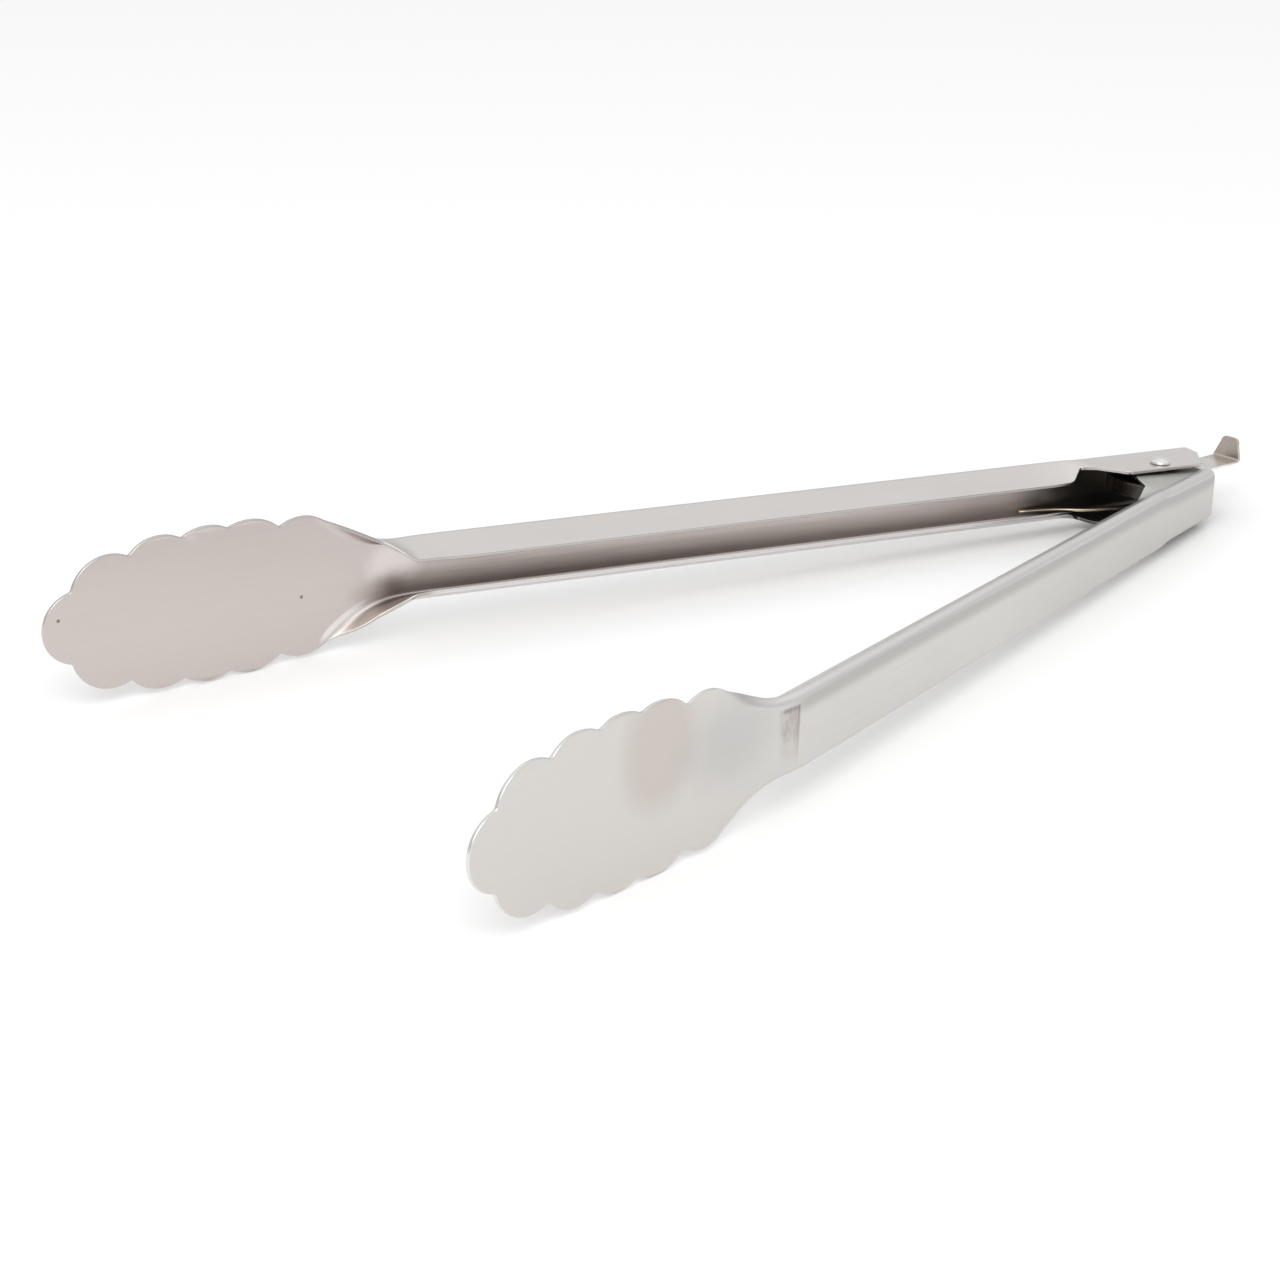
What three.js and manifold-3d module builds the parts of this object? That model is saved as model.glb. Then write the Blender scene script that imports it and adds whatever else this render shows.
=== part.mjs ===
// Spring loaded kitchen tongs, 12 inch class, fully open as the spring holds them.
// Two channel-section arms of stainless sheet end in flat scalloped blades. The inner arm's ears nest
// between the outer arm's ears on one rivet, which also carries a torsion spring and a sliding lock plate
// with a thumb tab. Millimetres, +Z up along the rivet, blades towards -X, centre line on X.
import * as THREE from 'three';
import { mergeVertices } from 'three/addons/utils/BufferGeometryUtils.js';
import Module from 'manifold-3d';

const wasm = await Module();
wasm.setup();
const deg = THREE.MathUtils.degToRad;

// Driving dimensions. Along an arm, u runs from the rivet axis to the tip and w out from the rivet axis
// to the web.
const TIP = 289.6;
const HALF_OPEN = deg(15.25);
const WEB_OFFSET = 12;
const SHEET = 0.9;
const FOLD = 3.4; // length of sheet that the bend between web and flange takes up
const SETTLE = 0.8; // length of sheet that the bend between flange slope and ear takes up
const FOLD_STEPS = 4;

// Blade: a flat sheet, toed in from the neck, whose edge is a row of circular scallops.
const TOE_IN = deg(9.5);
const TOE_START = 200;
const TOE_RADIUS = 30;
const CUSPS = [[282.8, 8.1], [269.4, 14.1], [257, 16.1], [246, 16.6], [233.5, 14.8], [222.5, 14.8]];
const BULGES = [3.6, 2.4, 1.7, 2, 1.6];
const LOBE_STEPS = 6;
const TIP_STEPS = 8;

// Neck: the blade narrows to a waist, then widens into the two flanges while they fold over. The crease
// that they fold along curves in from the blade's edge to the channel's web.
const WAIST = 211;
const WAIST_HALF = 12;
const WAIST_POWER = 1.5;
const FLANGE_GROWTH = [202, 211.5];
const FOLD_SPREAD = [201.5, 222];
const FOLD_LEFT = 0.36; // share of the fold that runs on out to the blade's edge
const CREASE = [203, 226];
const CREASE_HALF = 16.5;
const CREASE_POWER = 2.5;
const FOLD_SHARE = 0.85; // least share for the fold of the sheet past the crease
const REST_SHARES = [0.4, 0.2, 0.4];
const FLAT_SHARES = [0.8, 0.1, 0.04, 0.03, 0.03];
const NECK_STATIONS = [197, 200, 202, 204, 206, 208, 210, 212, 214, 216, 218, 220];

// Each arm's cross-sections, as half of the sheet's width from the middle of the web to its edge:
// flat web, fold, slope, turn back to level, shelf. Channel flanges are all slope; ears are all shelf.
// taper is how much wider the half web has grown where the neck starts.
const OUTER = {
  name: 'outer_arm',
  side: 1,
  rear: -15.5,
  channel: { web: 6, taper: 0, turn: deg(115), slope: 4, back: 0, shelf: 3.2 },
  earTop: { web: 5.44, turn: deg(90), slope: 0.4, back: 0, shelf: 12.5 },
  earBottom: { web: 5.44, turn: deg(90), slope: 0.4, back: 0, shelf: 12.5 },
  notch: [[9, -7], [11.7, -3.9], [20.3, 5.8], [24.5, 2.2], [24.5, -7]],
  rearTrim: [[-10.5, -7], [-10.5, -3.9], [-15.6, 5.5], [-20, 5.5], [-20, -7]],
};
const INNER = {
  name: 'inner_arm',
  side: -1,
  rear: -8,
  channel: { web: 5.8, taper: 1, turn: deg(122), slope: 3.2, back: 0, shelf: 2.6 },
  earTop: { web: 4.22, turn: deg(105), slope: 0.8, back: deg(15), shelf: 12.4 },
  earBottom: { web: 5.05, turn: deg(112), slope: 0.3, back: deg(22), shelf: 12.6 },
  notch: [[6, -7], [7.8, -4.4], [17.5, 3.8], [24, 4.6], [24, -7]],
  rearTrim: [[-4, -7], [-4, -4.4], [-8.2, -1], [-12, -1], [-12, -7]],
};
const CUT_REACH = 20; // a cut's height above and below the middle, well clear of the sheet
const EAR_END = 17;
const CHANNEL_START = 25;
const INNER_EAR_TOP = 5.7;
const OUTER_EAR_TOP = 7.6;

// Rivet, spring wire and lock slide.
const RIVET_RADIUS = 1.6;
const RIVET_HOLE = 1.9;
const HEAD_RADIUS = 2.65;
const HEAD_HEIGHT = 1.25;
const HEAD_DOME = [[1, 0], [1, 0.35], [0.8, 0.75], [0.45, 0.95], [0, 1]]; // shares of radius and height
const HEAD_SIDES = 24;
const GAP = 0.3;
const WIRE = 1;
const COIL_RADIUS = 3;
const COIL_TURNS = 3;
const COIL_BOTTOM = -4.6;
const COIL_PITCH = 1.12;
const COIL_LEAVE = deg(100); // where the wire leaves the coil, as an angle round the rivet
const COIL_STEP = deg(24);
const WIRE_STEPS = 110;
const ROUND_STEPS = 4;
const LEG_POINTS = [[12, 4.1], [18.5, 5.6], [25, 8.5], [35, 10.3]];
const SLIDE_SHEET = 0.6;
const SLIDE_TOP = INNER_EAR_TOP - SHEET - GAP;
const SLIDE_HALF = 10.2;
const SLIDE_FRONT = 10.4;
const SLIDE_FRONT_RADIUS = 25;
const SLIDE_PULL = 6.5; // towards the thumb tab, to lock the shut arms
const SLIDE_PUSH = 4.5; // towards the blades
const LIP_DEPTH = 4.3;
const TAB_HALF = 4.1;
const TAB_TOP_HALF = 2.4;
const TAB_SHOULDER_HALF = 2.8;
const TAB_CORNER = 1.2;
const SLIDE_FRONT_STEPS = 8;
const WING_END = 3;
const STEM_START = 7;
const TAB_BEND_X = 28.2;
const TAB_HEIGHT = 6.2;
const TAB_LEAN = deg(13);

const steel = (color, roughness) => new THREE.MeshStandardMaterial({ color, roughness, metalness: 1 });
const armSteel = steel(0xc9c6c2, 0.34);
const rivetSteel = steel(0xe2e0dc, 0.25);
const springSteel = steel(0xa89670, 0.35);
const slideSteel = steel(0xbdb6ac, 0.3);

const mix = (a, b, t) => a + (b - a) * t;
const smooth = (x, [from, to]) => THREE.MathUtils.smoothstep(x, from, to);

// Booleans: closed three.js geometry in and out of manifold-3d.
function solid(geometry) {
  const bare = geometry.index ? geometry.clone() : geometry;
  bare.deleteAttribute('normal');
  bare.deleteAttribute('uv');
  const merged = mergeVertices(bare, 1e-4);
  return new wasm.Manifold(new wasm.Mesh({
    numProp: 3,
    vertProperties: new Float32Array(merged.attributes.position.array),
    triVerts: new Uint32Array(merged.index.array),
  }));
}

function geometryOf(manifold) {
  const mesh = manifold.getMesh();
  const geometry = new THREE.BufferGeometry();
  geometry.setAttribute('position', new THREE.BufferAttribute(mesh.vertProperties, 3));
  geometry.setIndex(new THREE.BufferAttribute(mesh.triVerts, 1));
  geometry.computeVertexNormals();
  return geometry;
}

// An upright prism between two heights, over a plan outline.
function prism(shape, low, high, curveSegments = 12) {
  const geometry = new THREE.ExtrudeGeometry(shape, { depth: high - low, bevelEnabled: false, curveSegments });
  return solid(geometry.translate(0, 0, low));
}

// The scallop between two cusps, as [u, half-width] points on a circular arc that bulges outward.
function lobe([u0, h0], [u1, h1], bulge, steps) {
  const chord = Math.hypot(u1 - u0, h1 - h0);
  const radius = (chord * chord / 4 + bulge * bulge) / (2 * bulge);
  const out = [(h0 - h1) / chord, (u1 - u0) / chord].map((v) => v * Math.sign(u1 - u0));
  const centre = [(u0 + u1) / 2 + out[0] * (bulge - radius), (h0 + h1) / 2 + out[1] * (bulge - radius)];
  const start = Math.atan2(h0 - centre[1], u0 - centre[0]);
  const end = Math.atan2(h1 - centre[1], u1 - centre[0]);
  return Array.from({ length: steps + 1 }, (_, i) => {
    const angle = mix(start, end, i / steps);
    return [centre[0] + radius * Math.cos(angle), centre[1] + radius * Math.sin(angle)];
  });
}

// The blade's edge from the neck to the tip. The last lobe is a round nose on the arm's middle line.
function bladeEdge() {
  const cusps = [...CUSPS].reverse();
  const bulges = [...BULGES].reverse();
  const edge = bulges.flatMap((bulge, i) => lobe(cusps[i], cusps[i + 1], bulge, LOBE_STEPS).slice(0, -1));
  const [noseU, noseHalf] = CUSPS[0];
  const reach = TIP - noseU;
  const radius = (noseHalf * noseHalf + reach * reach) / (2 * reach);
  const start = Math.asin(noseHalf / radius);
  for (let i = 0; i < TIP_STEPS; i += 1) {
    const angle = start * (1 - i / TIP_STEPS);
    edge.push([TIP - radius * (1 - Math.cos(angle)), radius * Math.sin(angle)]);
  }
  return edge;
}

// Half of the sheet's flat width in the neck, where the blade's S-curve meets the growing flanges.
function neckHalf(u, channelHalf) {
  const [rootU, rootHalf] = CUSPS[CUSPS.length - 1];
  const rise = Math.max(0, (u - WAIST) / (rootU - WAIST)) ** WAIST_POWER;
  const waist = mix(WAIST_HALF, rootHalf, rise);
  return mix(channelHalf, waist, smooth(u, FLANGE_GROWTH));
}

// A cross-section's five lengths of sheet, and the turns of its two bends.
function spread({ web, slope, shelf, turn, back }) {
  return { lengths: [web, FOLD, slope, SETTLE, shelf], turn, back };
}

function flatSheet(half) {
  return { lengths: FLAT_SHARES.map((share) => share * half), turn: 0, back: 0 };
}

// A neck cross-section: flat web out to the crease, then as much of the fold as the sheet's width leaves
// room for. The rest is shared out over the slope, the turn back and the shelf.
function neckSection(u, channel) {
  const half = neckHalf(u, channel.lengths.reduce((sum, length) => sum + length, 0));
  const along = THREE.MathUtils.clamp((u - CREASE[0]) / (CREASE[1] - CREASE[0]), 0, 1);
  const web = mix(channel.lengths[0], CREASE_HALF, along ** CREASE_POWER);
  const fold = Math.min(FOLD, FOLD_SHARE * (half - web));
  const rest = half - web - fold;
  const turn = channel.turn * mix(1, FOLD_LEFT, smooth(u, FOLD_SPREAD)) * fold / FOLD;
  return { lengths: [web, fold, ...REST_SHARES.map((share) => share * rest)], turn, back: 0 };
}

// All cross-sections of an arm, from its hinge end to its tip: [u, upper half, lower half].
function armStations(arm) {
  const channel = spread(arm.channel);
  const ears = [spread(arm.earTop), spread(arm.earBottom)];
  const stations = [[arm.rear, ...ears], [EAR_END, ...ears], [CHANNEL_START, channel, channel]];
  const channelEnd = spread({ ...arm.channel, web: arm.channel.web + arm.channel.taper });
  for (const u of NECK_STATIONS) {
    const section = neckSection(u, channelEnd);
    stations.push([u, section, section]);
  }
  for (const [u, half] of bladeEdge()) {
    stations.push([u, flatSheet(half), flatSheet(half)]);
  }
  return stations;
}

// One half cross-section on the sheet's outer face: depth in from the web, height, and heading (0 is up).
function walk({ lengths, turn, back }) {
  const path = [];
  let depth = 0;
  let height = 0;
  let heading = 0;
  const go = (length, bend, steps) => {
    for (let i = 0; i < steps; i += 1) {
      const middle = heading + bend / steps / 2;
      const chord = Math.abs(bend) > 1e-6 ? Math.sin(bend / steps / 2) / (bend / steps / 2) : 1;
      depth += Math.sin(middle) * chord * length / steps;
      height += Math.cos(middle) * chord * length / steps;
      heading += bend / steps;
      path.push([depth, height, heading]);
    }
  };
  go(lengths[0], 0, 1);
  go(lengths[1], turn, FOLD_STEPS);
  go(lengths[2], 0, 1);
  go(lengths[3], -back, 1);
  go(lengths[4], 0, 1);
  return path;
}

// The web's line in plan: straight, then a short curve into the toed-in blade.
function webLine(u) {
  const curve = TOE_RADIUS * Math.tan(TOE_IN / 2);
  const past = u - (TOE_START - curve);
  if (past <= 0) {
    return [WEB_OFFSET, 0];
  }
  const angle = Math.min(past / TOE_RADIUS, TOE_IN);
  if (angle < TOE_IN) {
    return [WEB_OFFSET - TOE_RADIUS * (1 - Math.cos(angle)), angle];
  }
  return [WEB_OFFSET - Math.tan(TOE_IN) * (u - TOE_START), TOE_IN];
}

// The whole arm as one bent sheet: rings of outer and inner face points, joined along the arm.
function bentSheet(arm) {
  const positions = [];
  const rings = armStations(arm).map(([u, upper, lower]) => {
    const [web, toe] = webLine(u);
    const low = walk(lower).map(([d, z, h]) => [d, -z, Math.PI - h]).reverse();
    const profile = [...low, [0, 0, null], ...walk(upper)];
    return profile.map(([depth, z, heading], i) => {
      const below = i < low.length;
      const inward = heading === null ? [1, 0] : [Math.cos(heading) * (below ? -1 : 1), -Math.sin(heading)];
      const inZ = below ? -inward[1] : inward[1];
      const place = (d, height) => {
        positions.push(-(u - Math.sin(toe) * d), arm.side * (web - Math.cos(toe) * d), height);
        return positions.length / 3 - 1;
      };
      return [place(depth, z), place(depth + inward[0] * SHEET, z + inZ * SHEET)];
    });
  });
  const index = [];
  const quad = (a, b, c, d) => {
    const corners = arm.side > 0 ? [a, c, b, a, d, c] : [a, b, c, a, c, d];
    index.push(...corners);
  };
  const last = rings[0].length - 1;
  for (let i = 0; i + 1 < rings.length; i += 1) {
    const [here, next] = [rings[i], rings[i + 1]];
    for (let j = 0; j < last; j += 1) {
      quad(here[j][0], here[j + 1][0], next[j + 1][0], next[j][0]);
      quad(here[j][1], next[j][1], next[j + 1][1], here[j + 1][1]);
    }
    quad(here[last][0], here[last][1], next[last][1], next[last][0]);
    quad(here[0][0], next[0][0], next[0][1], here[0][1]);
  }
  for (let j = 0; j < last; j += 1) {
    const [first, end] = [rings[0], rings[rings.length - 1]];
    quad(first[j][0], first[j][1], first[j + 1][1], first[j + 1][0]);
    quad(end[j][0], end[j + 1][0], end[j + 1][1], end[j][1]);
  }
  const geometry = new THREE.BufferGeometry();
  geometry.setAttribute('position', new THREE.Float32BufferAttribute(positions, 3));
  geometry.setIndex(index);
  return solid(geometry);
}

// A plan outline given along an arm, as a prism through its whole height.
function armCut(arm, outline) {
  const corners = outline.map(([u, w]) => new THREE.Vector2(-u, arm.side * w));
  return prism(new THREE.Shape(corners), -CUT_REACH, CUT_REACH);
}

function rivetHole() {
  const circle = new THREE.Shape().absarc(0, 0, RIVET_HOLE, 0, 2 * Math.PI);
  return prism(circle, -CUT_REACH, CUT_REACH, 16);
}

// An arm with its notches, trimmed ears and rivet hole, turned out to its open position.
function armMesh(arm) {
  const cuts = [armCut(arm, arm.notch), armCut(arm, arm.rearTrim), rivetHole()];
  const body = cuts.reduce((rest, cut) => rest.subtract(cut), bentSheet(arm));
  const mesh = new THREE.Mesh(geometryOf(body), armSteel);
  mesh.name = arm.name;
  mesh.rotation.z = -arm.side * HALF_OPEN;
  return mesh;
}

// The rivet: a shank through all four ears, with a low domed head at each end.
function rivetMesh() {
  const seat = OUTER_EAR_TOP + GAP;
  const dome = HEAD_DOME.map(([r, z]) => new THREE.Vector2(r * HEAD_RADIUS, seat + z * HEAD_HEIGHT));
  const upper = [new THREE.Vector2(RIVET_RADIUS, seat), ...dome];
  const lower = upper.map((point) => new THREE.Vector2(point.x, -point.y)).reverse();
  const geometry = new THREE.LatheGeometry([...lower, ...upper], HEAD_SIDES).rotateX(Math.PI / 2);
  const mesh = new THREE.Mesh(geometry, rivetSteel);
  mesh.name = 'hinge_rivet';
  return mesh;
}

// A leg's route from the coil to the web of its arm, in plan.
function legRoute(side) {
  const turned = -side * HALF_OPEN;
  return LEG_POINTS.map(([u, w]) => {
    const [x, y] = [-u, side * w];
    return [x * Math.cos(turned) - y * Math.sin(turned), x * Math.sin(turned) + y * Math.cos(turned)];
  });
}

// The torsion spring: the outer arm's leg low in the hinge, the coil round the rivet, the inner arm's leg
// on top. The coil winds clockwise seen from above as it rises, so that closing the arms winds it up.
function springMesh() {
  const points = [];
  const sweep = 2 * Math.PI * COIL_TURNS + 2 * (COIL_LEAVE - Math.PI / 2) + Math.PI;
  const rise = COIL_PITCH * sweep / (2 * Math.PI);
  for (const [x, y] of legRoute(1).reverse()) {
    points.push(new THREE.Vector3(x, y, COIL_BOTTOM));
  }
  const steps = Math.round(sweep / COIL_STEP);
  for (let i = 0; i <= steps; i += 1) {
    const angle = COIL_LEAVE - sweep * i / steps;
    const height = COIL_BOTTOM + rise * i / steps;
    points.push(new THREE.Vector3(COIL_RADIUS * Math.cos(angle), COIL_RADIUS * Math.sin(angle), height));
  }
  for (const [x, y] of legRoute(-1)) {
    points.push(new THREE.Vector3(x, y, COIL_BOTTOM + rise));
  }
  const section = new THREE.Shape();
  section.absarc(0, 0, WIRE / 2, 0, 2 * Math.PI);
  const route = new THREE.CatmullRomCurve3(points, false, 'centripetal');
  const settings = { steps: WIRE_STEPS, extrudePath: route, curveSegments: ROUND_STEPS };
  const geometry = new THREE.ExtrudeGeometry(section, settings);
  const mesh = new THREE.Mesh(geometry, springSteel);
  mesh.name = 'torsion_spring';
  return mesh;
}

// The lock slide: a plate under the upper ears with a slot for the rivet, wings that fill the arms when
// they are shut, a curved lip bent down in front and a thumb tab bent up behind.
function slideMesh() {
  const frontX = (y) => -SLIDE_FRONT + SLIDE_FRONT_RADIUS - Math.sqrt(SLIDE_FRONT_RADIUS ** 2 - y ** 2);
  const front = [];
  for (let i = 0; i <= SLIDE_FRONT_STEPS; i += 1) {
    const y = mix(-SLIDE_HALF, SLIDE_HALF, i / SLIDE_FRONT_STEPS);
    front.push([frontX(y), y]);
  }
  const side = [[WING_END, SLIDE_HALF], [STEM_START, TAB_HALF], [TAB_BEND_X, TAB_HALF]];
  const otherSide = side.map(([x, y]) => [x, -y]).reverse();
  const outline = [...front, ...side, ...otherSide];
  const plate = new THREE.Shape(outline.map(([x, y]) => new THREE.Vector2(x, y)));
  const slot = new THREE.Path();
  slot.absarc(SLIDE_PUSH, 0, RIVET_HOLE, -Math.PI / 2, Math.PI / 2);
  slot.absarc(-SLIDE_PULL, 0, RIVET_HOLE, Math.PI / 2, 1.5 * Math.PI);
  plate.holes.push(slot);
  const back = [...front].reverse().map(([x, y]) => [x + SLIDE_SHEET, y]);
  const lip = new THREE.Shape([...front, ...back].map(([x, y]) => new THREE.Vector2(x, y)));
  const flat = prism(plate, SLIDE_TOP - SLIDE_SHEET, SLIDE_TOP).add(prism(lip, SLIDE_TOP - LIP_DEPTH, SLIDE_TOP));
  const mesh = new THREE.Mesh(geometryOf(flat.add(thumbTab())), slideSteel);
  mesh.name = 'lock_slide';
  return mesh;
}

// The tab stands on the plate's end, leaning back, with its sides drawn in towards a rounded top.
function thumbTab() {
  const face = new THREE.Shape();
  face.moveTo(-TAB_HALF, 0);
  face.lineTo(TAB_HALF, 0);
  face.lineTo(TAB_SHOULDER_HALF, TAB_HEIGHT - TAB_CORNER);
  face.quadraticCurveTo(TAB_TOP_HALF, TAB_HEIGHT, TAB_TOP_HALF - TAB_CORNER, TAB_HEIGHT);
  face.lineTo(TAB_CORNER - TAB_TOP_HALF, TAB_HEIGHT);
  face.quadraticCurveTo(-TAB_TOP_HALF, TAB_HEIGHT, -TAB_SHOULDER_HALF, TAB_HEIGHT - TAB_CORNER);
  const settings = { depth: SLIDE_SHEET, bevelEnabled: false, curveSegments: ROUND_STEPS };
  const geometry = new THREE.ExtrudeGeometry(face, settings);
  geometry.rotateX(Math.PI / 2).rotateZ(Math.PI / 2).rotateY(TAB_LEAN);
  return solid(geometry.translate(TAB_BEND_X - SLIDE_SHEET, 0, SLIDE_TOP - SLIDE_SHEET));
}

// The origin is at the middle of the open tongs' box, on the level of the blades' lowest edge.
const tongs = new THREE.Group();
tongs.add(armMesh(OUTER), armMesh(INNER), rivetMesh(), springMesh(), slideMesh());
tongs.updateMatrixWorld(true);
const box = new THREE.Box3().setFromObject(tongs, true);
tongs.position.set(-(box.min.x + box.max.x) / 2, -(box.min.y + box.max.y) / 2, -box.min.z);

export default tongs;
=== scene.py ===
"""Looks for the spring loaded kitchen tongs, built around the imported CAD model.

Each arm is one stamped sheet. Its flat pattern is drawn in sheet coordinates, u along the arm from the
rivet axis and s across it from the middle line, and then folded by one formula, so that the notches, the
ears and the scalloped blade all share the same sheet. Lengths are millimetres until a mesh is made.
"""
import functools
import math

import bpy
import numpy as np
from mathutils import Matrix, Vector, geometry


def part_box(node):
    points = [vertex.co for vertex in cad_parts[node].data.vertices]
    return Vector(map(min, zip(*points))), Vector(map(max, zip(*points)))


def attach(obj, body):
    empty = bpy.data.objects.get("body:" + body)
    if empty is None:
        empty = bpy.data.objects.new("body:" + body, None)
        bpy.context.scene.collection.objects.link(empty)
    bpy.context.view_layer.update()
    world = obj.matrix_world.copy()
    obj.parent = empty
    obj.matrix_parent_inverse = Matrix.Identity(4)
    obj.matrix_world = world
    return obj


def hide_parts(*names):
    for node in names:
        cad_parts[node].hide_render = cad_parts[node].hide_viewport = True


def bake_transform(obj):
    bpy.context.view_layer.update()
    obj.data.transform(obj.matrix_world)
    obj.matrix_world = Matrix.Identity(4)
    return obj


MM = 0.001
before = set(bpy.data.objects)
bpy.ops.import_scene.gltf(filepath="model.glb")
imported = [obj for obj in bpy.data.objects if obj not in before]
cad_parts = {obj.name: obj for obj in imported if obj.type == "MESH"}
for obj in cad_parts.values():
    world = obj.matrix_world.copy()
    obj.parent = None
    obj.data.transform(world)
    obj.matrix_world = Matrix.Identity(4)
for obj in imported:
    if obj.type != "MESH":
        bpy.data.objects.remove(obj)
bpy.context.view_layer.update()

# The rivet's middle is the origin that the arms turn about.
rivet_low, rivet_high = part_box("hinge_rivet")
PIVOT = (rivet_low + rivet_high) / (2 * MM)

HALF_OPEN = math.radians(15.25)
TIP = 289.45  # u of the blade's tip
WEB_OFFSET = 12  # from the rivet axis to an arm's outer face
SHEET = 0.9
RIM = 0.24  # radius of the polished edges
FOLD = 3.4  # length of the sheet in each fold
SETTLE = 0.8  # length of the sheet that turns back from slope to shelf
RIVET_HOLE = 1.9  # radius

TOE_IN = math.radians(9.5)
TOE_START = 200
TOE_RADIUS = 60
CUSPS = [(282.8, 8.1), (269.4, 14.1), (257, 16.1), (246, 16.6), (233.5, 14.8), (222.5, 14.8)]
BULGES = [3.6, 2.4, 1.7, 2, 1.6]  # how far the sheet stands out between one cusp and the next

WAIST = 211
WAIST_HALF = 12
WAIST_POWER = 1.5
FLANGE_GROWTH = (202, 211.5)
LOWER_EXTRA = 1.2  # how much wider the lower flap is than the upper one, at most
LOWER_SPAN = (203, 221)
FLANGE_TAPER = (186, 204)
FLANGE_LOSS = 0.6
FOLD_SPREAD = (201.5, 222)
FOLD_LEFT = 0.36  # share of the fold that runs on out to the blade's edge
CREASE = (203, 226)  # the stretch over which the creases spread out to the blade's edges
CREASE_HALF = 16.5
CREASE_POWER = 2.5
LIFT_START = -8  # where an ear with a lift starts to rise towards its front
EAR_END = 17
CHANNEL_START = 25
CHANNEL_END = 197

# A section goes from the middle of the web out: flat web, fold, slope, turn back and shelf. Its turns are
# degrees. The notch and the rear trim are cuts in plan, through points (u, distance from the rivet axis).
OUTER = {
    "name": "outer_arm",
    "side": 1,
    "rear": -15.5,
    "channel": {"web": 6, "taper": 0, "turn": 115, "slope": 4, "back": 0, "shelf": 3.2},
    "ear_top": {"web": 5.44, "lift": 0, "turn": 90, "slope": 0.4, "back": 0, "shelf": 12.5},
    "ear_bottom": {"web": 5.44, "lift": 0, "turn": 90, "slope": 0.4, "back": 0, "shelf": 12.5},
    "notch": [(24.5, -7), (24.5, 2.2), (20.3, 5.8), (11.7, -3.9)],
    "rear_trim": [(-10.5, -3.9), (-15.6, 5.5)],
}
INNER = {
    "name": "inner_arm",
    "side": -1,
    "rear": -8,
    "channel": {"web": 5.8, "taper": 1, "turn": 122, "slope": 3.2, "back": 0, "shelf": 2.6},
    "ear_top": {"web": 4.42, "lift": 0.65, "turn": 105, "slope": 0.8, "back": 15, "shelf": 12.2},
    "ear_bottom": {"web": 5.05, "lift": 0, "turn": 112, "slope": 0.3, "back": 22, "shelf": 12.6},
    "notch": [(24, -7), (24, 4.6), (17.5, 3.8), (7.8, -4.4)],
    "rear_trim": [(-4, -4.4), (-8.2, -1)],
}


def mix(a, b, t):
    return a + (b - a) * t


def share(x, span):
    """How far x has gone through span, from 0 to 1."""
    return np.clip((x - span[0]) / (span[1] - span[0]), 0, 1)


def smooth(x, span):
    """0 before span, 1 after it, smooth between."""
    t = share(x, span)
    return t * t * (3 - 2 * t)


def bump(x, span):
    """1 in the middle of span, falling smoothly to 0 at its ends."""
    away = np.clip(np.abs(2 * x - span[0] - span[1]) / (span[1] - span[0]), 0, 1)
    return (1 - away * away) ** 2


# -------- the folded sheet


def sheet_half(part):
    """Half of the flat sheet's width over a channel or an ear."""
    return part["web"] + FOLD + part["slope"] + SETTLE + part["shelf"]


def taper(u, arm):
    """How much wider the channel's half web is at u than at its hinge end."""
    return arm["channel"]["taper"] * share(u, (CHANNEL_START, CHANNEL_END))


def neck_half(u, arm, upper):
    """Half of the flat sheet's width between the channel and the blade's last cusp."""
    root_u, root_half = CUSPS[-1]
    rise = share(u, (WAIST, root_u)) ** WAIST_POWER
    full = sheet_half(arm["channel"]) + taper(u, arm) - FLANGE_LOSS * smooth(u, FLANGE_TAPER)
    waist = mix(WAIST_HALF, root_half, rise) + (0 if upper else LOWER_EXTRA * bump(u, LOWER_SPAN))
    return mix(full, waist, smooth(u, FLANGE_GROWTH))


def section(arm, u, upper):
    """Cross-section at u, as arrays: crease height, turn, slope length, turn back."""
    ear = arm["ear_top"] if upper else arm["ear_bottom"]
    channel = arm["channel"]
    t = smooth(u, (EAR_END, CHANNEL_START))
    risen = ear["web"] + ear["lift"] * share(u, (LIFT_START, EAR_END))
    crease = mix(risen, channel["web"], t) + taper(u, arm)
    turn = np.radians(mix(ear["turn"], channel["turn"], t))
    slope = mix(ear["slope"], channel["slope"], t)
    back = np.radians(mix(ear["back"], channel["back"], t))
    crease = mix(crease, CREASE_HALF, share(u, CREASE) ** CREASE_POWER)
    turn = turn * mix(1, FOLD_LEFT, smooth(u, FOLD_SPREAD))
    return crease, turn, slope, back


def arc_step(length, total, turn, start):
    """Depth, height and heading gained over part of a bend that turns evenly, from heading start."""
    bent = turn * length / total
    middle = start + bent / 2
    chord = length * np.sinc(bent / (2 * np.pi))
    return np.sin(middle) * chord, np.cos(middle) * chord, start + bent


def half_profile(arm, u, s, upper):
    """Where sheet point (u, s) of one half lies: depth in from the web, height and heading."""
    crease, turn, slope, back = section(arm, u, upper)
    web_part = np.minimum(s, crease)
    fold_part = np.clip(s - crease, 0, FOLD)
    slope_part = np.clip(s - crease - FOLD, 0, slope)
    settle_part = np.clip(s - crease - FOLD - slope, 0, SETTLE)
    shelf_part = np.maximum(s - crease - FOLD - slope - SETTLE, 0)
    depth, height, heading = arc_step(fold_part, FOLD, turn, 0)
    height = height + web_part
    depth = depth + np.sin(heading) * slope_part
    height = height + np.cos(heading) * slope_part
    d, z, heading = arc_step(settle_part, SETTLE, -back, heading)
    depth = depth + d + np.sin(heading) * shelf_part
    height = height + z + np.cos(heading) * shelf_part
    return depth, height, heading


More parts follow.
